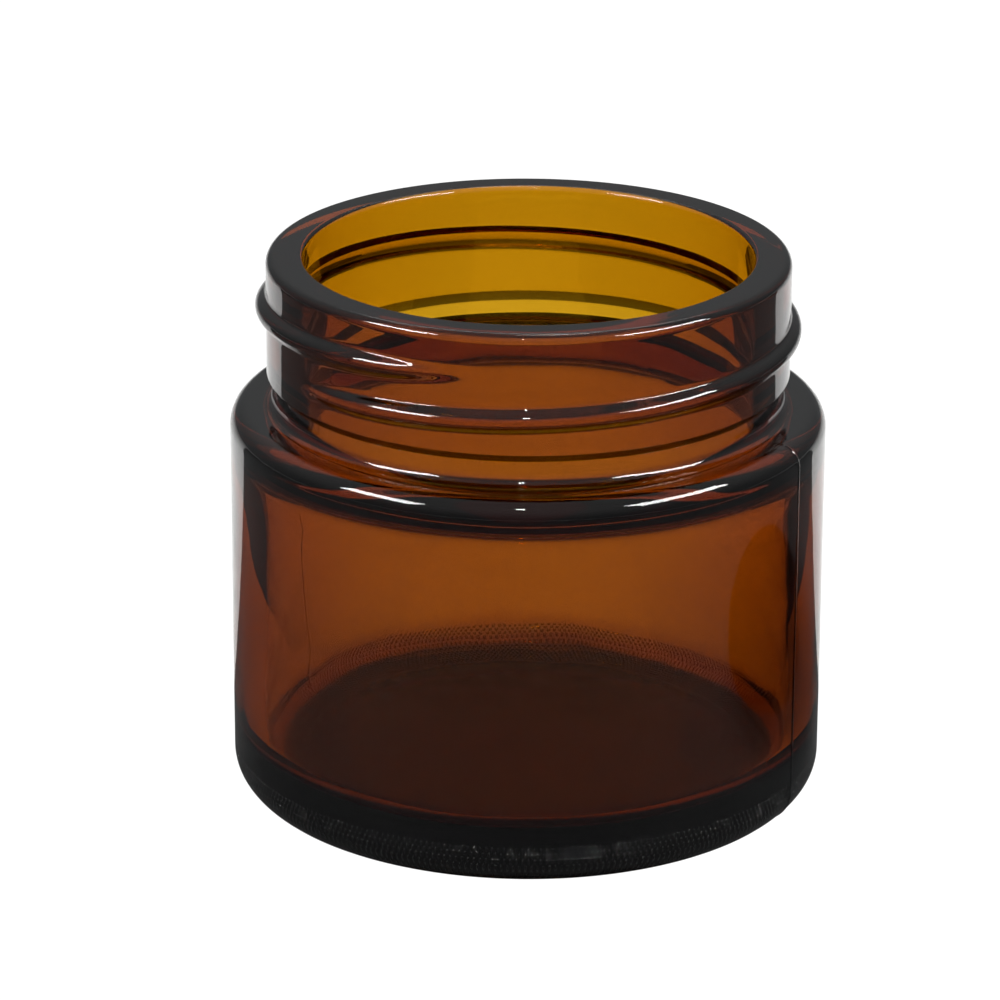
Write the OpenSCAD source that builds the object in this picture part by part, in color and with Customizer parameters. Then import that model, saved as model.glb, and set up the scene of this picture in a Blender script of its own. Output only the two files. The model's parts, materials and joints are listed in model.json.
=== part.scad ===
// Open cosmetic cream jar of amber glass, with its screw lid upturned beside it.
// The origin is the centre of the jar's base, and +Z is up. Sizes are in millimetres.

/* [Jar body] */
// Outer diameter of the body
body_d = 56; // [50:0.5:66]
// Height of the shoulder's top above the table
shoulder_h = 37.8; // [30:0.1:48]
// Wall of the body
body_wall = 3.2; // [2.4:0.1:4]
// Glass under the contents, at the side of the floor
base_t = 4.6; // [3.5:0.1:7]
// Radius of the outer heel
heel_r = 3.4; // [2:0.1:4.5]
// Radius of the outer shoulder
shoulder_r = 2; // [1.2:0.1:3]
// Radius of the inner floor's corner
floor_r = 3; // [2:0.1:5]
// Height of the hollow under the base, at its middle
push_up = 0.9; // [0.5:0.1:1.5]
// Width of the ring that the jar stands on
bearing_w = 3; // [2:0.1:4]

/* [Neck] */
// Outer diameter of the neck between the threads
neck_d = 49; // [42:0.1:49.4]
// Bore of the mouth
mouth_d = 42; // [36:0.1:43]
// Height of the neck above the shoulder
neck_h = 14.5; // [13:0.1:20]
// Radius of the rim's outer edge
rim_r = 0.9; // [0.5:0.1:1.6]
// Radius of the rim's inner edge
lip_r = 0.5; // [0.3:0.1:1.2]
// Depth of the relief between the neck and the shoulder
relief_depth = 0.8; // [0.4:0.1:1.2]
// Height of the relief above the shoulder
relief_h = 3.2; // [2.6:0.1:4.5]
// Radius of the fillet from the relief out to the shoulder
fillet_r = 1.3; // [0.8:0.1:2]

/* [Thread] */
// Rise of the thread in one turn
pitch = 4.2; // [3.5:0.1:4.5]
// Height of the jar's thread above the neck
thread_depth = 1; // [0.8:0.1:1.4]
// Width of the jar's thread at the neck
thread_w = 2; // [1.8:0.1:2.6]
// Turns of the jar's thread
jar_turns = 1.1; // [1:0.05:1.5]
// Turns of the lid's thread
lid_turns = 1; // [0.8:0.05:1.2]
// Distance from the rim down to the start of the jar's thread
thread_drop = 4; // [2.8:0.1:4.2]

/* [Lid] */
// Wall of the lid's skirt
skirt_wall = 1.5; // [1.2:0.1:2]
// Thickness of the lid's top
top_t = 1.6; // [1.2:0.1:2.4]
// Gap between the closed lid and the shoulder
skirt_gap = 0.9; // [0.5:0.1:1.5]
// Clearance around the jar's thread, in radius
thread_clear = 0.5; // [0.3:0.05:0.7]
// Width of the lid's thread at the skirt
lid_thread_w = 1.3; // [1:0.1:1.6]
// Radius of the lid's outer top edge
lid_edge_r = 1.2; // [0.6:0.1:1.4]
// Thickness of the foam liner
liner_t = 1.2; // [0.8:0.1:2]

/* [Sealing disc] */
// Thickness of the sealing disc
disc_t = 0.7; // [0.5:0.1:1]
// Width of the disc's raised pull tab
tab_w = 12; // [9:0.5:16]
// Height of the pull tab above the disc
tab_h = 0.9; // [0.6:0.1:1.1]

/* [Layout] */
// Gap on the table between the jar and the upturned lid
park_gap = 22; // [15:1:60]

/* [Hidden] */
// Gap left between pieces that touch on the real object
play = 0.1;
// Clearance between the lid's thread and the neck, in radius
neck_clear = 0.45;
// How deep a thread's root is buried in its wall
root = 0.5;
// How deep a thread's crest is sunk in its wall at its two ends
sunk = 0.12;
// How far the raised skirt still reaches below the rim
raised_overlap = 0.8;
// Turn of the jar's thread start about the axis, seen from above
start_angle = -109;
// Degrees over which a thread fades out at each end
fade = 24;
// Degrees between two sections of a thread
thread_step = 7.5;
// Height of the lid's thread start above the skirt's edge
lid_thread_rise = 2.6;
// Size of the small bevels on the lid
bevel = 0.4;
$fn = 96;

body_r = body_d / 2;
neck_r = neck_d / 2;
mouth_r = mouth_d / 2;
rim_h = shoulder_h + neck_h;
inner_r = body_r - body_wall;
relief_r = neck_r - relief_depth;
shoulder_step = body_r - relief_r;
shoulder_round = min(shoulder_r, 0.61 * shoulder_step);
fillet = min(fillet_r, 0.38 * shoulder_step);
inner_bend = (inner_r - mouth_r) / 2;
ceiling_h = shoulder_h - body_wall / 2 - inner_bend;
bearing_r = body_r - heel_r - bearing_w;

lid_in_r = neck_r + thread_depth + thread_clear;
lid_out_r = lid_in_r + skirt_wall;
lid_thread_r = neck_r + neck_clear;
skirt_h = shoulder_h + skirt_gap;
liner_h = rim_h + play + disc_t + play;
ceiling_in_h = liner_h + liner_t + play;
lid_h = ceiling_in_h + top_t;
liner_r = lid_in_r - play;
disc_r = lid_thread_r - 2 * play;
dish_depth = tab_h + play;
dish_r = mouth_r - 2;

travel = rim_h - raised_overlap - skirt_h;
turn_deg = travel / pitch * 360;
park_x = body_r + park_gap + lid_out_r;

// Points of an arc about [x, y], from angle a to angle b
function arc(x, y, r, a, b, n = 8) =
    [for (i = [0:n]) let (t = a + (b - a) * i / n) [x + r * cos(t), y + r * sin(t)]];

// Share of its full height that a thread has, t degrees along one of total degrees
function swell(t, total) = sin(90 * max(0, min(t, total - t, fade)) / fade);

// Height of a thread's flank above its wall: share of the depth, sunk where it fades out
function flank(share, depth, k) = (share * depth + sunk) * k - sunk;

// Section of a thread: [distance out from its wall, distance along the axis]
function thread_section(depth, width, k) = [
    [-root, -width * 0.54],
    [flank(0.5, depth, k), -width * 0.42],
    [flank(0.92, depth, k), -width * 0.22],
    [flank(1, depth, k), 0],
    [flank(0.92, depth, k), width * 0.22],
    [flank(0.5, depth, k), width * 0.42],
    [-root, width * 0.54]
];

// A thread of so many turns that starts at height z and angle a, and descends clockwise.
// side is 1 where it stands out from the wall at radius r, and -1 where it stands in.
module thread(r, side, z, a, turns, depth, width) {
    total = turns * 360;
    steps = round(total / thread_step);
    corners = len(thread_section(depth, width, 1));
    points = [
        for (i = [0:steps])
            let (t = total * i / steps)
            for (p = thread_section(depth, width, swell(t, total)))
                [
                    (r + side * p[0]) * cos(a - t),
                    (r + side * p[0]) * sin(a - t),
                    z - pitch * t / 360 + p[1]
                ]
    ];
    sides = [
        for (i = [0:steps - 1])
            for (j = [0:corners - 1])
                let (n = (j + 1) % corners, lo = i * corners, hi = lo + corners)
                for (f = [[lo + j, lo + n, hi + n], [lo + j, hi + n, hi + j]])
                    side > 0 ? [f[2], f[1], f[0]] : f
    ];
    first = [for (j = [0:corners - 1]) side > 0 ? j : corners - 1 - j];
    last = [for (j = [0:corners - 1]) steps * corners + (side > 0 ? corners - 1 - j : j)];
    polyhedron(points, concat(sides, [first, last]), convexity = 6);
}

// Section of the jar from the axis out, up the outside and down the inside
module jar_section() {
    polygon(concat(
        [for (i = [0:6]) [bearing_r * i / 6, push_up * (1 - pow(i / 6, 2))]],
        arc(body_r - heel_r, heel_r, heel_r, -90, 0),
        arc(body_r - shoulder_round, shoulder_h - shoulder_round, shoulder_round, 0, 90),
        arc(relief_r + fillet, shoulder_h + fillet, fillet, 270, 180),
        [
            [relief_r, shoulder_h + relief_h - relief_depth],
            [neck_r, shoulder_h + relief_h]
        ],
        arc(neck_r - rim_r, rim_h - rim_r, rim_r, 0, 90),
        arc(mouth_r + lip_r, rim_h - lip_r, lip_r, 90, 180),
        arc(mouth_r + inner_bend, ceiling_h + inner_bend, inner_bend, 180, 270),
        arc(inner_r - inner_bend, ceiling_h - inner_bend, inner_bend, 90, 0),
        arc(inner_r - floor_r, base_t + floor_r, floor_r, 0, -90),
        [[0, base_t]]
    ));
}

module jar() {
    color([0.42, 0.2, 0.04])
    union() {
        rotate_extrude() jar_section();
        thread(neck_r, 1, rim_h - thread_drop, start_angle, jar_turns, thread_depth, thread_w);
    }
}

// Turns the lid over from above the mouth to its place on the table
module parked() {
    translate([park_x, 0, lid_h + travel])
    rotate([0, 180, 0])
    children();
}

// Pull tab that lies flat in the disc's dish
module pull_tab() {
    tab_d = tab_w / 2;
    translate([0, 0, disc_t - dish_depth - play])
    linear_extrude(tab_h + play)
    difference() {
        union() {
            circle(tab_w / 2);
            translate([-tab_w / 2, -tab_d]) square([tab_w, tab_d]);
        }
        translate([0, -tab_d / 6]) circle(tab_w / 4);
    }
}

module sealing_disc() {
    color([0.93, 0.93, 0.9])
    parked()
    translate([0, 0, rim_h + play])
    union() {
        rotate_extrude()
        polygon([
            [0, -dish_depth],
            [dish_r - dish_depth, -dish_depth],
            [dish_r, 0],
            [disc_r, 0],
            [disc_r, disc_t],
            [dish_r, disc_t],
            [dish_r - dish_depth, disc_t - dish_depth],
            [0, disc_t - dish_depth]
        ]);
        pull_tab();
    }
}

module lid_liner() {
    color([0.9, 0.9, 0.88])
    parked()
    translate([0, 0, liner_h + travel])
    cylinder(h = liner_t, r = liner_r);
}

module lid_shell() {
    thread_z = skirt_h + lid_thread_rise + pitch * lid_turns;
    thread_fall = rim_h - thread_drop - pitch / 2 - thread_z;
    color([0.06, 0.06, 0.065])
    parked()
    translate([0, 0, travel])
    rotate([0, 0, turn_deg])
    union() {
        rotate_extrude()
        polygon(concat(
            [
                [lid_in_r + bevel, skirt_h],
                [lid_out_r - bevel, skirt_h],
                [lid_out_r, skirt_h + bevel]
            ],
            arc(lid_out_r - lid_edge_r, lid_h - lid_edge_r, lid_edge_r, 0, 90),
            [
                [0, lid_h],
                [0, ceiling_in_h],
                [lid_in_r, ceiling_in_h],
                [lid_in_r, skirt_h + bevel]
            ]
        ));
        thread(
            lid_in_r,
            -1,
            thread_z,
            start_angle - thread_fall / pitch * 360,
            lid_turns,
            lid_in_r - lid_thread_r,
            lid_thread_w
        );
    }
}

jar();
sealing_disc();
lid_liner();
lid_shell();
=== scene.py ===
"""Open cream jar of amber glass.

Its screw lid lies upturned beside it, with the foam liner and the sealing disc in it."""

import json
import math

import bmesh
import bpy
import numpy as np
from bpy.props import FloatProperty, FloatVectorProperty, PointerProperty
from mathutils import Euler, Matrix, Vector, noise


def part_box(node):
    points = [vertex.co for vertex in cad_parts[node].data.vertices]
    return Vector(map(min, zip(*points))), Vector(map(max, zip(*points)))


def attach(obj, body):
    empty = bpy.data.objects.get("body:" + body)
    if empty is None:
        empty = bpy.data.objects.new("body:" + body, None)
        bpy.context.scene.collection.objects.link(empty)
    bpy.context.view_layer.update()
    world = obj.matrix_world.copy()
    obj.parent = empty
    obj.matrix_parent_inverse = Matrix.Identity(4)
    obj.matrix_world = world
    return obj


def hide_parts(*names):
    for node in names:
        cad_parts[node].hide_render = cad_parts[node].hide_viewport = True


bl_info = {
    "name": "Amber cream jar",
    "version": (1, 0, 0),
    "blender": (4, 5, 0),
    "location": "3D View > Sidebar > Cream jar",
    "description": "Builds a glass cream jar, its screw lid, foam liner and sealing disc, and a plain stage",
    "category": "Add Mesh",
}

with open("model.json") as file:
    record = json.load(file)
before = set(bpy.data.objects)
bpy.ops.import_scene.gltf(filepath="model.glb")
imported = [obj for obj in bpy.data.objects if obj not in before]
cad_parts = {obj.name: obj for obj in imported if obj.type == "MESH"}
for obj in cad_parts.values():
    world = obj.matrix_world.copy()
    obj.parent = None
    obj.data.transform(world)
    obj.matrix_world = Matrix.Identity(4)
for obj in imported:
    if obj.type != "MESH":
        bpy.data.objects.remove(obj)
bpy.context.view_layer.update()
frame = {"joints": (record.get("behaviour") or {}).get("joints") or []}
JAR_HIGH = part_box("jar")[1]
LID_LOW, LID_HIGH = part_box("lid_shell")
LINER_LOW, LINER_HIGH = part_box("lid_liner")
DISC_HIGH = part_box("sealing_disc")[1]
LID_X = (LID_LOW.x + LID_HIGH.x) / 2

MM = 0.001
# Degrees over which a thread swells up at its start and sinks back at its end
FADE_DEG = 24
# How softly a thread runs into its wall, on the jar and in the lid
JAR_THREAD_SOFT = 0.22 * MM
LID_THREAD_SOFT = 0.14 * MM
# How far the glass outside lies within its true size, on average
GLASS_SHRINK = 0.018 * MM
# Reach of the seam about its line, in degrees, and the height where it starts
SEAM_REACH = 0.2
SEAM_LOW = 0.6 * MM
# The dots on the heel: how many go round, their pitch up the heel, and their depth
DOTS_ROUND = 316
DOT_PITCH = 0.55 * MM
DOT_DEPTH = 0.2 * MM
# The ring that the rim has pressed into the foam
PRINT_RADIUS = 22.7 * MM
PRINT_HALF_WIDTH = 1.1 * MM
PRINT_DEPTH = 0.12 * MM
# The fine grip rings near the sealing disc's edge
GRIP_RADIUS = 22.45 * MM
GRIP_HALF_WIDTH = 1.35 * MM
GRIP_PITCH = 0.9 * MM
GRIP_DEPTH = 0.03 * MM
# Radius of the dark card that only reflections show, which paints dark reflections of the floor, and its
# open wedge behind the jar, to each side
CARD_RADIUS = 0.7
WEDGE_DEG = 50

JAR_MIDDLE = (0, 0, 0.03)
BEHIND_JAR = (0, 0.22, 0)
# Name, aim, azimuth and elevation in degrees, distance, width, height and power of each light
LAMPS = (
    ("window_left", JAR_MIDDLE, -66, 42, 0.6, 0.3, 0.12, 2.5),
    ("window_right", JAR_MIDDLE, 70, 44, 0.6, 0.4, 0.12, 3.1),
    ("lamp_front", JAR_MIDDLE, -4, 58, 0.7, 0.03, 0.03, 0.3),
    ("lamp_over", JAR_MIDDLE, 170, 68, 0.7, 0.12, 0.12, 0.2),
    ("lamp_behind", BEHIND_JAR, 180, 70, 0.5, 0.3, 0.2, 0.2),
)


def length(name, description, default):
    """A size in metres that the sidebar shows."""
    return FloatProperty(
        name=name, description=description, default=default, unit="LENGTH", precision=5, min=0
    )


def number(name, description, default, **settings):
    """A plain number that the sidebar shows."""
    return FloatProperty(name=name, description=description, default=default, **settings)


def degrees(name, description, default):
    """An angle that the sidebar shows."""
    return FloatProperty(
        name=name, description=description, default=math.radians(default), subtype="ANGLE"
    )


def colour(name, description, default):
    """A colour that the sidebar shows."""
    return FloatVectorProperty(
        name=name, description=description, default=default, subtype="COLOR", size=3, min=0, max=1
    )


class JarSizes(bpy.types.PropertyGroup):
    body_radius: length("Body radius", "Outer radius of the body", JAR_HIGH.y)
    rim_height: length("Rim height", "Height of the rim above the table", JAR_HIGH.z)
    shoulder_height: length("Shoulder height", "Height of the shoulder's top above the table", 0.0378)
    wall: length("Body wall", "Thickness of the body's glass", 0.0032)
    base: length("Base", "Glass under the cream, at the side of the floor", 0.0046)
    heel: length("Heel radius", "Radius of the outer heel", 0.0034)
    shoulder: length("Shoulder radius", "Radius of the outer shoulder", 0.002)
    floor_corner: length("Floor corner", "Radius of the inner floor's corner", 0.003)
    push_up: length("Push-up", "Height of the hollow under the base", 0.0009)
    bearing: length("Bearing ring", "Width of the ring that the jar stands on", 0.003)
    neck_radius: length("Neck radius", "Outer radius of the neck between the threads", 0.0245)
    mouth_radius: length("Mouth radius", "Radius of the mouth's bore", 0.021)
    rim_edge: length("Rim edge", "Radius of the rim's outer edge", 0.0009)
    lip: length("Lip edge", "Radius of the rim's inner edge", 0.0005)
    relief_depth: length("Relief depth", "Depth of the relief between neck and shoulder", 0.0008)
    relief_height: length("Relief height", "Height of the relief above the shoulder", 0.0032)
    fillet: length("Fillet", "Radius from the relief out to the shoulder", 0.0013)
    pitch: length("Pitch", "Rise of the thread in one turn", 0.0042)
    thread_depth: length("Thread depth", "Height of the thread above the neck", 0.001)
    thread_width: length("Thread width", "Width of the thread at the neck", 0.002)
    thread_drop: length("Thread drop", "Distance from the rim down to the thread's start", 0.004)
    thread_turns: number("Thread turns", "Turns of the jar's thread", 1.1)
    thread_start: degrees("Thread start", "Where the thread starts about the axis", -109)
    seam_angle: degrees("Seam", "Where the body mould's seam runs", -27.5)
    seam_height: length("Seam height", "How far the mould's seam stands out", 0.00007)
    unevenness: length("Unevenness", "How far the inner surface wanders from true", 0.00009)


class LidSizes(bpy.types.PropertyGroup):
    outer_radius: length("Skirt radius", "Outer radius of the skirt", LID_HIGH.y)
    inner_radius: length("Inner radius", "Inner radius of the skirt", 0.026)
    height: length("Lid height", "Height of the lid", LID_HIGH.z)
    top: length("Top", "Thickness of the lid's top", 0.0016)
    edge: length("Edge", "Radius of the lid's outer top edge", 0.0012)
    bevel: length("Bevel", "Size of the small roundings at the skirt's edge", 0.0004)
    thread_depth: length("Thread depth", "Height of the thread inside the skirt", 0.00105)
    thread_width: length("Thread width", "Width of the thread at the skirt", 0.0013)
    thread_rise: length("Thread rise", "Height of the thread's upper end above the skirt's edge", 0.0068)
    thread_turns: number("Thread turns", "Turns of the lid's thread", 1.0)
    thread_start: degrees("Thread start", "Where the thread starts about the closed lid's axis", -169)
    liner_radius: length("Liner radius", "Radius of the foam liner", 0.0259)
    disc_radius: length("Disc radius", "Radius of the sealing disc", 0.02475)
    disc_thickness: length("Disc thickness", "Thickness of the sealing disc", 0.0007)
    dish_radius: length("Dish radius", "Radius of the disc's sunken middle", 0.019)
    dish_depth: length("Dish depth", "Depth of the disc's sunken middle", 0.001)
    tab_width: length("Tab width", "Width of the disc's pull tab", 0.012)


class Finishes(bpy.types.PropertyGroup):
    glass_passes: colour("Glass tint", "What the glass lets through", (0.87, 0.735, 0.0))
    glass_density: number("Glass density", "Strength of the tint, per metre", 1700.0, min=0)
    glass_bend: number("Glass bend", "Refractive index of the glass", 1.52, min=1)
    lid_colour: colour("Lid colour", "Black moulded plastic", (0.012, 0.012, 0.013))
    foam_colour: colour("Liner colour", "Foam of the liner", (0.86, 0.85, 0.8))
    disc_colour: colour("Disc colour", "Natural plastic of the sealing disc", (0.82, 0.83, 0.8))


class StageSizes(bpy.types.PropertyGroup):
    floor_radius: length("Floor radius", "Radius of the floor", 4.0)
    floor_colour: colour("Floor colour", "Pale floor", (0.9, 0.9, 0.89))
    sky: number("Sky", "Strength of the light from all round", 0.41, min=0)
    # Colour of the dark cards that paint dark reflections, and dark sides seen through the glass
    painted_reflection_colour: colour(
        "Card colour", "Dark cards that reflections and the glass show", (0.05, 0.053, 0.055)
    )
    camera_distance: length("Camera distance", "From the camera to the middle of the jar", 0.47738)
    camera_height: degrees("Camera height", "How far the camera looks down", 20.429)
    camera_roll: degrees("Camera roll", "How far the camera is turned about its own axis", 0.226)
    camera_lens: number("Camera lens", "Focal length in millimetres", 181.6, min=1)
    camera_aim_x: number("Aim across", "Where the camera aims, across, in metres", -0.00259)
    camera_aim_z: number("Aim height", "Where the camera aims, in height, in metres", 0.027716)


class Wire:
    """A value in a material. Sums on it add the nodes that work them out."""

    def __init__(self, look, socket):
        self.look, self.socket = look, socket

    def math(self, operation, *values):
        return self.look.node("ShaderNodeMath", {"operation": operation}, dict(enumerate(values)))

    def __add__(self, other):
        return self.math("ADD", self, other)

    def __radd__(self, other):
        return self.math("ADD", other, self)

    def __sub__(self, other):
        return self.math("SUBTRACT", self, other)

    def __rsub__(self, other):
        return self.math("SUBTRACT", other, self)

    def __mul__(self, other):
        return self.math("MULTIPLY", self, other)

    def __rmul__(self, other):
        return self.math("MULTIPLY", other, self)

    def sine(self):
        return self.math("SINE", self)

    def between(self, low, high):
        """0 below low and 1 above high, or the other way round, with a soft step between."""
        return self.look.node(
            "ShaderNodeMapRange",
            {"interpolation_type": "SMOOTHSTEP"},
            {"Value": self, "From Min": low, "From Max": high},
        )


class Look:
    """The nodes of one material or of the world."""

    def __init__(self, owner):
        owner.use_nodes = True
        self.tree = owner.node_tree
        self.tree.nodes.clear()

    def node(self, kind, settings=None, inputs=None, output=0):
        made = self.tree.nodes.new(kind)
        for name, value in (settings or {}).items():
            setattr(made, name, value)
        for name, value in (inputs or {}).items():
            if isinstance(value, Wire):
                self.tree.links.new(value.socket, made.inputs[name])
            else:
                made.inputs[name].default_value = value
        return Wire(self, made.outputs[output]) if len(made.outputs) else None

    def place(self):
        """Where a point lies, in metres in the piece's own frame."""
        return self.node("ShaderNodeTexCoord", output="Object")

    def axes(self, point):
        """The three parts of a point."""
        split = self.node("ShaderNodeSeparateXYZ", inputs={0: point}).socket.node
        return [Wire(self, socket) for socket in split.outputs]

    def moved(self, point, by):
        return self.node("ShaderNodeVectorMath", {"operation": "ADD"}, {0: point, 1: by})

    def cloud(self, point, size, detail=3.0, rough=0.5):
        """Soft noise from 0 to 1, whose patches are about size metres across."""
        inputs = {"Vector": point, "Scale": 1 / size, "Detail": detail, "Roughness": rough}
        return self.node("ShaderNodeTexNoise", inputs=inputs)

    def bump(self, height, distance, strength=1.0, onto=None):
        inputs = {"Height": height, "Distance": distance, "Strength": strength}
        if onto is not None:
            inputs["Normal"] = onto
        return self.node("ShaderNodeBump", inputs=inputs)

    def blend(self, share, first, second):
        """A colour between two others."""
        made = self.node("ShaderNodeMix", {"data_type": "RGBA"}, {"Factor": share}).socket.node
        for socket, value in zip([made.inputs[6], made.inputs[7]], [first, second], strict=True):
            if isinstance(value, Wire):
                self.tree.links.new(value.socket, socket)
            else:
                socket.default_value = value
        return Wire(self, made.outputs[2])

    def surface(self, volume=None, **inputs):
        """Ends the material with one shader. Underscores in the names stand for spaces."""
        named = {name.replace("_", " "): value for name, value in inputs.items()}
        ends = {"Surface": self.node("ShaderNodeBsdfPrincipled", inputs=named)}
        if volume is not None:
            ends["Volume"] = volume
        self.node("ShaderNodeOutputMaterial", inputs=ends)


def opaque(tint):
    return (*tint, 1.0)


def amber_glass(finish, sizes):
    """Clear amber glass with a faint waviness, dull handling marks and a stippled heel."""
    material = bpy.data.materials.new("amber_glass")
    look = Look(material)
    point = look.place()
    x, y, z = look.axes(point)
    around = look.node("ShaderNodeMath", {"operation": "ARCTAN2"}, {0: y, 1: x})
    level = look.node("ShaderNodeCombineXYZ", inputs={0: x, 1: y})
    across = look.node("ShaderNodeVectorMath", {"operation": "LENGTH"}, {0: level}, "Value")

    # Rows of fine dots run round the heel and the bearing ring, each row half a dot further on
    lift = (z - across) * (math.pi / DOT_PITCH)
    dots = (around * DOTS_ROUND).sine() * lift.sine()
    on_heel = z.between(4.6 * MM, 3.9 * MM) * across.between(21.5 * MM, 22.2 * MM)
    stipple = look.bump(dots.between(0.1, 0.9) * on_heel, DOT_DEPTH)

    skin = look.bump(look.cloud(point, 7 * MM, 1.0), 0.035 * MM, onto=stipple)
    marks = look.cloud(look.moved(point, (0.31, 0.17, 0.05)), 9 * MM, 5.0, 0.62).between(0.5, 0.78)
    grain = look.cloud(point, 0.5 * MM, 2.0).between(0.35, 0.75)
    volume = look.node(
        "ShaderNodeVolumeAbsorption",
        inputs={"Color": opaque(finish.glass_passes), "Density": finish.glass_density},
    )
    look.surface(
        volume,
        Base_Color=(1, 1, 1, 1),
        Roughness=marks * grain * 0.05,
        IOR=finish.glass_bend,
        Transmission_Weight=1.0,
        Normal=skin,
    )
    return material


def black_plastic(finish):
    """Glossy black plastic, with the faint swirl of its moulding and light handling marks."""
    material = bpy.data.materials.new("black_plastic")
    look = Look(material)
    point = look.place()
    marks = look.cloud(point, 11 * MM, 3.0, 0.5).between(0.3, 0.9)
    grain = look.cloud(look.moved(point, (0.4, 0.1, 0.2)), 0.35 * MM, 2.0)
    tint = look.blend(marks * 0.3, opaque(finish.lid_colour), (0.022, 0.022, 0.024, 1))
    uneven = look.bump(look.cloud(point, 8 * MM, 1.0), 0.03 * MM)
    look.surface(
        Base_Color=tint,
        Roughness=0.16 + marks * 0.07 + grain * 0.04,
        IOR=1.49,
        Normal=look.bump(grain, 0.008 * MM, onto=uneven),
    )
    return material


def foam(finish):
    """Fine closed-cell foam, a little dull, with its cells as shallow dimples, and painted shade in the
    grooves between the cells.
    """
    material = bpy.data.materials.new("foam")
    look = Look(material)
    point = look.place()
    cells = look.node(
        "ShaderNodeTexVoronoi",
        {"feature": "SMOOTH_F1"},
        {"Vector": point, "Scale": 1 / (0.45 * MM), "Smoothness": 0.4},
    )
    patches = look.cloud(point, 6 * MM, 4.0)
    warm = look.blend(patches.between(0.35, 0.7), opaque(finish.foam_colour), (0.78, 0.76, 0.7, 1))
    # Painted shade: the grooves between the cells, where the bump is lowest, are painted darker
    tint = look.blend(cells.between(0.5, 0.95) * 0.35, warm, (0.62, 0.6, 0.55, 1))
    look.surface(
        Base_Color=tint,
        Roughness=0.72 + patches * 0.16,
        IOR=1.45,
        Normal=look.bump(1 - cells, 0.09 * MM, 0.8),
    )
    return material


def natural_plastic(finish):
    """Milky plastic of the sealing disc, with a satin moulded skin and faint flow marks."""
    material = bpy.data.materials.new("natural_plastic")
    look = Look(material)
    point = look.place()
    flow = look.node(
        "ShaderNodeTexNoise",
        inputs={"Vector": point, "Scale": 1 / (5 * MM), "Detail": 3.0, "Distortion": 1.6},
    )
    grain = look.cloud(look.moved(point, (0.2, 0.6, 0.3)), 0.25 * MM, 2.0)
    tint = look.blend(flow.between(0.3, 0.75), opaque(finish.disc_colour), (0.74, 0.75, 0.71, 1))
    look.surface(
        Base_Color=tint,
        Roughness=0.36 + flow * 0.1 + grain * 0.08,
        IOR=1.51,
        Subsurface_Weight=0.3,
        Subsurface_Radius=(0.004, 0.004, 0.0035),
        Subsurface_Scale=0.4,
        Normal=look.bump(grain, 0.01 * MM, onto=look.bump(flow, 0.05 * MM)),
    )
    return material


def corner(x, y, radius, start, end, steps=12):
    """Points of a rounded corner about (x, y), from one angle to another in degrees."""
    turn = [math.radians(start + (end - start) * i / steps) for i in range(steps + 1)]
    return [(x + radius * math.cos(t), y + radius * math.sin(t)) for t in turn]


def spaced(points, longest):
    """The same outline with points added, so that no stretch is longer than longest."""
    made = [points[0]]
    for a, b in zip(points, points[1:], strict=False):
        parts = max(1, math.ceil(math.dist(a, b) / longest - 1e-6))
        for i in range(1, parts + 1):
            made.append(tuple(p + (q - p) * i / parts for p, q in zip(a, b, strict=True)))
    return made


def ridge(height, angle, top, start, turns, pitch, depth, width, soften):
    """How far a right-hand thread stands out from its wall, at a height and at an angle in degrees."""
    total = turns * 360
    stands = np.full(np.broadcast(height, angle).shape, -depth)
    for whole in range(-1, math.ceil(turns) + 1):
        along = (start - angle) % 360 + 360 * whole
        swell = np.sin(np.radians(90 * np.clip(np.minimum(along, total - along) / FADE_DEG, -1, 1)))
        off = np.abs(height - (top - pitch * along / 360)) / (0.55 * width)
        stands = np.maximum(stands, depth * (swell - off**2.2))
    return (stands + np.sqrt(stands**2 + soften**2)) / 2


def wander(points, size, shift):
    """Slow unevenness from about -1 to 1, the same on each run."""
    return np.array([noise.noise(Vector(p) / size + Vector((shift, shift, shift))) for p in points])


def turned(name, outline, angles, stand, upturned=None):
    """A solid of revolution. outline runs from the axis, round the outside, and back to the axis.
    stand(radius, height, angle, row) says how far its surface stands off the outline there."""
    rows = np.array(outline)
    along = np.zeros_like(rows)
    along[1:-1] = rows[2:] - rows[:-2]
    along /= np.maximum(np.linalg.norm(along, axis=1, keepdims=True), 1e-12)
    radius, height = rows[:, 0:1], rows[:, 1:2]
    off = stand(radius, height, angles[None, :], np.arange(len(rows))[:, None])
    radius = radius + off * along[:, 1:2]
    height = height - off * along[:, 0:1]
    turn = np.radians(angles)[None, :]
    places = np.stack([radius * np.cos(turn), radius * np.sin(turn), height + 0 * turn], axis=-1)[1:-1]
    places = np.concatenate([[[0, 0, outline[0][1]]], places.reshape(-1, 3), [[0, 0, outline[-1][1]]]])
    if upturned is not None:
        places = np.array([upturned @ Vector(p) for p in places])

    rings, count = len(rows) - 2, len(angles)
    last = rings * count + 1
    faces = []
    for j in range(count):
        k = (j + 1) % count
        faces.append((0, 1 + k, 1 + j))
        faces.append((last, last - count + j, last - count + k))
        faces += [
            (1 + i * count + j, 1 + i * count + k, 1 + (i + 1) * count + k, 1 + (i + 1) * count + j)
            for i in range(rings - 1)
        ]
    return solid(name, places.tolist(), faces)


def solid(name, places, faces):
    """A smooth object from corners and faces, whose faces all look outwards."""
    mesh = bpy.data.meshes.new(name)
    mesh.from_pydata(places, [], faces)
    work = bmesh.new()
    work.from_mesh(mesh)
    bmesh.ops.recalc_face_normals(work, faces=work.faces)
    work.to_mesh(mesh)
    work.free()
    mesh.shade_smooth()
    made = bpy.data.objects.new(name, mesh)
    bpy.context.scene.collection.objects.link(made)
    return made


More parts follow.
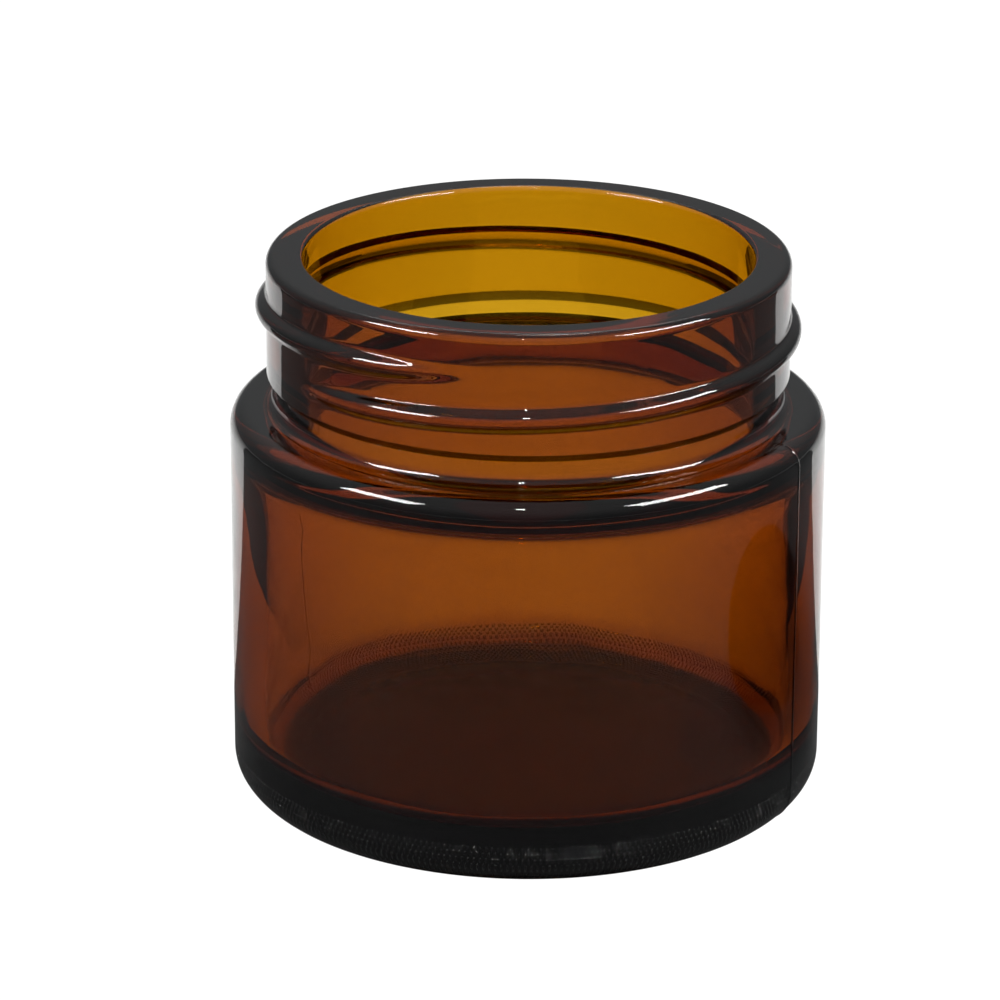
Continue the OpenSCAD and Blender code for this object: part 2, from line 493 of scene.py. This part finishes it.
def fine_angles(count, seams):
    """Evenly spaced angles in degrees, with closer ones at the seams."""
    close = [-0.85, -0.5, -0.3, -0.16, -0.06, 0.06, 0.16, 0.3, 0.5, 0.85]
    even = [360 * i / count - 180 for i in range(count)]
    away = [a for a in even if all(abs((a - s + 180) % 360 - 180) > 1.2 for s in seams)]
    return np.array(sorted(away + [(s + c + 180) % 360 - 180 for s in seams for c in close]))


def finished(piece, material, body, node):
    """Gives a piece its material, body and CAD node. Only the jar shows in reflections."""
    piece.visible_glossy = body == "jar"
    piece.data.materials.append(material)
    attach(piece, body)
    if node:
        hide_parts(node)


class JAR_OT_glass(bpy.types.Operator):
    """Build the glass jar"""

    bl_idname = "cream_jar.glass"
    bl_label = "Glass jar"

    def outline(self, s):
        """The outline of the glass, and how many of its points are outside and on the neck."""
        inner = s.body_radius - s.wall
        relief = s.neck_radius - s.relief_depth
        bend = (inner - s.mouth_radius) / 2
        ceiling = s.shoulder_height - s.wall / 2 - bend
        bearing = s.body_radius - s.heel - s.bearing
        under = [(bearing * i / 14, s.push_up * (1 - (i / 14) ** 2)) for i in range(15)]
        body = spaced(
            [
                *under,
                *corner(s.body_radius - s.heel, s.heel, s.heel, -90, 0, 22),
                *corner(s.body_radius - s.shoulder, s.shoulder_height - s.shoulder, s.shoulder, 0, 90, 18),
            ],
            1.5 * MM,
        )
        neck = spaced(
            [
                *corner(relief + s.fillet, s.shoulder_height + s.fillet, s.fillet, 270, 180, 14),
                (relief, s.shoulder_height + s.relief_height - s.relief_depth),
                (s.neck_radius, s.shoulder_height + s.relief_height),
                *corner(s.neck_radius - s.rim_edge, s.rim_height - s.rim_edge, s.rim_edge, 0, 90, 14),
            ],
            0.125 * MM,
        )
        inside = spaced(
            [
                *corner(s.mouth_radius + s.lip, s.rim_height - s.lip, s.lip, 90, 180, 10),
                *corner(s.mouth_radius + bend, ceiling + bend, bend, 180, 270),
                *corner(inner - bend, ceiling - bend, bend, 90, 0),
                *corner(inner - s.floor_corner, s.base + s.floor_corner, s.floor_corner, 0, -90, 16),
                (0, s.base),
            ],
            1.5 * MM,
        )
        return body + neck + inside, len(body), len(body) + len(neck)

    def execute(self, context):
        s = context.scene.cream_jar
        outline, body_rows, outer_rows = self.outline(s)
        seam = math.degrees(s.seam_angle)
        angles = fine_angles(288, (seam, seam + 180))
        profile = np.array(outline)
        turn = np.radians(angles)
        grid = np.stack(
            [
                profile[:, 0:1] * np.cos(turn),
                profile[:, 0:1] * np.sin(turn),
                profile[:, 1:2] + 0 * turn,
            ],
            axis=-1,
        )
        slow = wander(grid.reshape(-1, 3), 13 * MM, 3.7).reshape(grid.shape[:2])
        quick = wander(grid.reshape(-1, 3), 5 * MM, 9.1).reshape(grid.shape[:2])

        def stand(radius, height, angle, row):
            outside = row < outer_rows
            on_neck = outside & (row >= body_rows)
            thread = ridge(
                height,
                angle,
                s.rim_height - s.thread_drop,
                math.degrees(s.thread_start),
                s.thread_turns,
                s.pitch,
                s.thread_depth,
                s.thread_width,
                JAR_THREAD_SOFT,
            )
            off_front = abs((angle - seam + 180) % 360 - 180)
            off_back = abs((angle - seam) % 360 - 180)
            seams = s.seam_height * np.exp(-((np.minimum(off_front, off_back) / SEAM_REACH) ** 2))
            on_body = (row < body_rows) & (height > SEAM_LOW) & (radius > s.body_radius - s.heel)
            # The inner surface wanders, but not at its middle nor at the rim
            free = np.clip(radius / (4 * MM), 0, 1) * np.clip((s.rim_height - height) / (2 * MM), 0, 1)
            wavy = -s.unevenness * free * (slow + 0.25 * quick)
            tight = -GLASS_SHRINK * (1 + slow)
            smooth = np.where(on_neck, thread + tight, 0) + np.where(on_body, seams + tight, 0)
            return np.where(outside, smooth, wavy)

        jar = turned("glass_jar", outline, angles, stand)
        finished(jar, amber_glass(context.scene.cream_finish, s), "jar", "jar")
        return {"FINISHED"}


class JAR_OT_lid(bpy.types.Operator):
    """Build the upturned screw lid"""

    bl_idname = "cream_jar.lid"
    bl_label = "Screw lid"

    def execute(self, context):
        s, jar = context.scene.cream_lid, context.scene.cream_jar
        # The lid is drawn top up with its skirt's edge at 0, and turned over at the end
        outline = spaced(
            [
                (0, s.height),
                *corner(s.outer_radius - s.edge, s.height - s.edge, s.edge, 90, 0, 12),
                *corner(s.outer_radius - s.bevel, s.bevel, s.bevel, 0, -90, 6),
                *corner(s.inner_radius + s.bevel, s.bevel, s.bevel, -90, -180, 6),
                (s.inner_radius, s.height - s.top - 0.3 * MM),
                (s.inner_radius - 0.3 * MM, s.height - s.top),
                (0, s.height - s.top),
            ],
            0.22 * MM,
        )
        wall_row = 1 + max(i for i, p in enumerate(outline) if p[0] > s.inner_radius + 1e-9)

        def stand(radius, height, angle, row):
            thread = ridge(
                height,
                angle,
                s.thread_rise,
                math.degrees(s.thread_start),
                s.thread_turns,
                jar.pitch,
                s.thread_depth,
                s.thread_width,
                LID_THREAD_SOFT,
            )
            inside = (row >= wall_row) & (radius >= s.inner_radius - 1e-9)
            return np.where(inside, thread, 0)

        turn = math.radians(next(j for j in frame["joints"] if j["name"] == "lid_turn")["range_deg"][1])
        over = Matrix.Translation((LID_X, 0, s.height)) @ Euler((0, math.pi, 0)).to_matrix().to_4x4()
        lid = turned("screw_lid", outline, fine_angles(240, ()), stand, over @ Matrix.Rotation(turn, 4, "Z"))
        finished(lid, black_plastic(context.scene.cream_finish), "lid", "lid_shell")
        return {"FINISHED"}


class JAR_OT_liner(bpy.types.Operator):
    """Build the foam liner that lies in the lid"""

    bl_idname = "cream_jar.liner"
    bl_label = "Foam liner"

    def execute(self, context):
        s = context.scene.cream_lid
        low, high, soft = LINER_LOW.z, LINER_HIGH.z, 0.25 * MM
        outline = spaced(
            [
                (0, low),
                *corner(s.liner_radius - soft, low + soft, soft, -90, 0, 6),
                *corner(s.liner_radius - soft, high - soft, soft, 0, 90, 6),
                (0, high),
            ],
            0.5 * MM,
        )

        def stand(radius, height, angle, row):
            # The rim leaves a shallow ring in the foam
            pressed = np.exp(-(((radius - PRINT_RADIUS) / PRINT_HALF_WIDTH) ** 4))
            return -PRINT_DEPTH * pressed * (height > high - 1e-6) + 0 * angle

        place = Matrix.Translation((LID_X, 0, 0))
        liner = turned("foam_liner", outline, fine_angles(160, ()), stand, place)
        finished(liner, foam(context.scene.cream_finish), "liner", "lid_liner")
        return {"FINISHED"}


class JAR_OT_disc(bpy.types.Operator):
    """Build the sealing disc and its pull tab"""

    bl_idname = "cream_jar.disc"
    bl_label = "Sealing disc"

    def execute(self, context):
        s = context.scene.cream_lid
        # Heights are drawn as on the closed jar, from the disc's underside, and turned over at the end
        t, dish, deep, edge = s.disc_thickness, s.dish_radius, s.dish_depth, 0.2 * MM
        outline = spaced(
            [
                (0, -deep),
                (dish - deep - 0.3 * MM, -deep),
                (dish - deep + 0.2 * MM, -deep + 0.2 * MM),
                (dish - 0.2 * MM, -0.2 * MM),
                (dish + 0.3 * MM, 0),
                *corner(s.disc_radius - edge, edge, edge, -90, 0, 6),
                *corner(s.disc_radius - edge, t - edge, edge, 0, 90, 6),
                (dish + 0.3 * MM, t),
                (dish - 0.2 * MM, t - 0.2 * MM),
                (dish - deep + 0.2 * MM, t - deep + 0.2 * MM),
                (dish - deep - 0.3 * MM, t - deep),
                (0, t - deep),
            ],
            0.6 * MM,
        )
        flange = DISC_HIGH.z - deep
        over = Matrix.Translation((LID_X, 0, flange)) @ Euler((0, math.pi, 0)).to_matrix().to_4x4()
        finish = natural_plastic(context.scene.cream_finish)

        def stand(radius, height, angle, row):
            # Fine grip rings near the flange's edge
            wave = np.cos((radius - GRIP_RADIUS + GRIP_PITCH / 2) / GRIP_PITCH * 2 * math.pi)
            rings = wave * (abs(radius - GRIP_RADIUS) < GRIP_HALF_WIDTH)
            return -GRIP_DEPTH * (1 + rings) * (height < 1e-6) * (radius > dish + 1 * MM) + 0 * angle

        disc = turned("sealing_disc_plate", outline, fine_angles(180, ()), stand, over)
        finished(disc, finish, "disc", "sealing_disc")
        tab = self.tab(s, over)
        finished(tab, finish, "disc", None)
        return {"FINISHED"}

    def tab(self, s, over):
        """The pull tab: a flat loop that lies in the dish, with rounded edges."""
        half, blunt = s.tab_width / 2, 0.8 * MM
        outer = [
            *corner(0, 0, half, 0, 180, 28),
            *corner(-half + blunt, -half + blunt, blunt, 180, 270, 6),
            *corner(half - blunt, -half + blunt, blunt, 270, 360, 6),
        ]
        count = len(outer)
        inner = [
            (half / 2 * math.cos(a), -half / 6 + half / 2 * math.sin(a))
            for a in (math.radians(360 * i / count) for i in range(count))
        ]
        low, high = s.disc_thickness - s.dish_depth - 0.05 * MM, s.disc_thickness - 0.1 * MM
        edge = 0.15 * MM
        steps = ((0, low), (0, high - edge), (0.3, high - 0.3 * edge), (1, high))
        rings = []
        for border, towards, levels in ((outer, inner, steps), (inner, outer, steps[::-1])):
            for share, height in levels:
                pairs = zip(border, towards, strict=True)
                rings.append([(*self.inset(p, q, edge * share), height) for p, q in pairs])
        places = [over @ Vector(p) for ring in rings for p in ring]
        faces = [
            (i * count + j, i * count + (j + 1) % count, k * count + (j + 1) % count, k * count + j)
            for i in range(len(rings))
            for k in [(i + 1) % len(rings)]
            for j in range(count)
        ]
        return solid("sealing_disc_tab", places, faces)

    @staticmethod
    def inset(point, towards, by):
        """A point moved by a distance towards another."""
        share = by / math.dist(point, towards)
        return tuple(a + (b - a) * share for a, b in zip(point, towards, strict=True))


class JAR_OT_stage(bpy.types.Operator):
    """Set up the floor, the lights and the camera"""

    bl_idname = "cream_jar.stage"
    bl_label = "Stage"

    def flat(self, name, points, material):
        """A flat piece of the stage from its corners."""
        mesh = bpy.data.meshes.new(name)
        mesh.from_pydata(points, [], [tuple(range(len(points)))])
        mesh.materials.append(material)
        made = bpy.data.objects.new(name, mesh)
        bpy.context.scene.collection.objects.link(made)
        return made

    def shows_only(self, piece, way):
        """Hides a piece from every kind of light path but one."""
        for light_path in ("camera", "diffuse", "glossy", "transmission", "shadow", "volume_scatter"):
            setattr(piece, f"visible_{light_path}", light_path == way)

    def round_floor(self, radius, height):
        turn = [2 * math.pi * i / 96 for i in range(96)]
        return [(radius * math.cos(a), radius * math.sin(a), height) for a in turn]

    def open_floor(self, radius, height, half_angle):
        """A round floor with a wedge left out behind the jar, half_angle degrees to each side."""
        turn = [math.radians(90 + half_angle + (360 - 2 * half_angle) * i / 84) for i in range(85)]
        return [(0, -0.005, height)] + [(radius * math.cos(a), radius * math.sin(a), height) for a in turn]

    def floor(self, s):
        material = bpy.data.materials.new("pale_floor")
        look = Look(material)
        tint = look.blend(look.cloud(look.place(), 0.3, 2.0), opaque(s.floor_colour), (0.88, 0.88, 0.875, 1))
        look.surface(Base_Color=tint, Roughness=0.6)
        self.flat("floor", self.round_floor(s.floor_radius, -0.06 * MM), material)

    def cards(self, s):
        """Painted reflections: a dark card on the floor that only reflections show, which paints dark
        reflections where the floor is pale, and two dark cards seen only through the glass, which paint dark
        sides into the glass.
        """
        material = bpy.data.materials.new("painted_reflection_card")
        look = Look(material)
        tint = look.blend(look.cloud(look.place(), 0.2, 2.0), opaque(s.painted_reflection_colour), (0.08, 0.08, 0.08, 1))
        look.surface(Base_Color=tint, Roughness=0.8)
        card = self.flat("painted_reflection_floor", self.open_floor(CARD_RADIUS, -0.03 * MM, WEDGE_DEG), material)
        self.shows_only(card, "glossy")
        # Painted shade in the glass: two dark cards that only the glass shows, darkening its sides
        for side in (-1, 1):
            near, far, high = Vector((side * 0.062, -0.1)), Vector((side * 0.066, 0.35)), 0.2
            corners = [(*near, 0), (*far, 0), (*far, high), (*near, high)]
            card = self.flat(f"card_{'left' if side < 0 else 'right'}", corners, material)
            self.shows_only(card, "transmission")

    def sheet(self, s):
        """A bright white sheet over the floor, which lights nothing and hides the shadows on the ground."""
        material = bpy.data.materials.new("white_sheet")
        look = Look(material)
        tint = look.blend(look.cloud(look.place(), 0.3, 2.0), (1, 1, 1, 1), (0.99, 0.99, 0.99, 1))
        look.surface(Base_Color=(0, 0, 0, 1), Roughness=1.0, Emission_Color=tint, Emission_Strength=1.05)
        made = self.flat("white_sheet", self.round_floor(s.floor_radius, -0.02 * MM), material)
        self.shows_only(made, "camera")

    def softbox(self, name, aim, azimuth, elevation, distance, width, height, energy):
        """An area light that faces the point aim. Azimuth 0 is the camera's side, and 90 the right."""
        lamp = bpy.data.lights.new(name, "AREA")
        lamp.shape, lamp.size, lamp.size_y, lamp.energy = "RECTANGLE", width, height, energy
        a, e = math.radians(azimuth), math.radians(elevation)
        back = Vector((math.sin(a) * math.cos(e), -math.cos(a) * math.cos(e), math.sin(e)))
        made = bpy.data.objects.new(name, lamp)
        made.location = Vector(aim) + back * distance
        made.rotation_euler = back.to_track_quat("Z", "Y").to_euler()
        bpy.context.scene.collection.objects.link(made)

    def sky(self, s):
        """Soft light from all round: bright above, and greyer low down."""
        world = bpy.data.worlds.new("soft_room")
        bpy.context.scene.world = world
        look = Look(world)
        way = look.node("ShaderNodeTexCoord", output="Generated")
        up = look.axes(way)[2]
        tint = look.blend(up.between(0.1, 0.75), (0.42, 0.43, 0.44, 1), (1, 1, 1, 1))
        light = look.node("ShaderNodeBackground", inputs={"Color": tint, "Strength": s.sky})
        look.node("ShaderNodeOutputWorld", inputs={"Surface": light})

    def execute(self, context):
        s = context.scene.cream_stage
        self.floor(s)
        self.cards(s)
        self.sheet(s)
        self.sky(s)
        for lamp in LAMPS:
            self.softbox(*lamp)
        camera = bpy.data.objects.new("camera", bpy.data.cameras.new("camera"))
        camera.data.lens, camera.data.sensor_width = s.camera_lens, 36
        camera.data.clip_start, camera.data.clip_end = 0.01, 20
        down = s.camera_height
        aim = Vector((s.camera_aim_x, 0, s.camera_aim_z))
        camera.location = aim + s.camera_distance * Vector((0, -math.cos(down), math.sin(down)))
        tilt = Matrix.Rotation(math.pi / 2 - down, 3, "X") @ Matrix.Rotation(s.camera_roll, 3, "Z")
        camera.rotation_euler = tilt.to_euler()
        context.scene.collection.objects.link(camera)
        context.scene.camera = camera
        context.scene.view_settings.view_transform = "Standard"
        return {"FINISHED"}


class JAR_PT_pieces(bpy.types.Panel):
    """Lists the jar's pieces in the sidebar"""

    bl_label = "Cream jar"
    bl_space_type = "VIEW_3D"
    bl_region_type = "UI"
    bl_category = "Cream jar"

    def draw(self, context):
        for maker in MAKERS:
            self.layout.operator(maker.bl_idname)
        for group in GROUPS:
            box = self.layout.box()
            for name in GROUPS[group].__annotations__:
                box.prop(getattr(context.scene, group), name)


GROUPS = {
    "cream_jar": JarSizes,
    "cream_lid": LidSizes,
    "cream_finish": Finishes,
    "cream_stage": StageSizes,
}
MAKERS = (JAR_OT_glass, JAR_OT_lid, JAR_OT_liner, JAR_OT_disc, JAR_OT_stage)
CLASSES = (*GROUPS.values(), *MAKERS, JAR_PT_pieces)


def register():
    for made in CLASSES:
        bpy.utils.register_class(made)
    for name, group in GROUPS.items():
        setattr(bpy.types.Scene, name, PointerProperty(type=group))


def unregister():
    for name in GROUPS:
        delattr(bpy.types.Scene, name)
    for made in reversed(CLASSES):
        bpy.utils.unregister_class(made)


def main():
    """Builds every piece and the stage."""
    register()
    bpy.ops.cream_jar.glass()
    bpy.ops.cream_jar.lid()
    bpy.ops.cream_jar.liner()
    bpy.ops.cream_jar.disc()
    bpy.ops.cream_jar.stage()


if __name__ == "__main__":
    main()
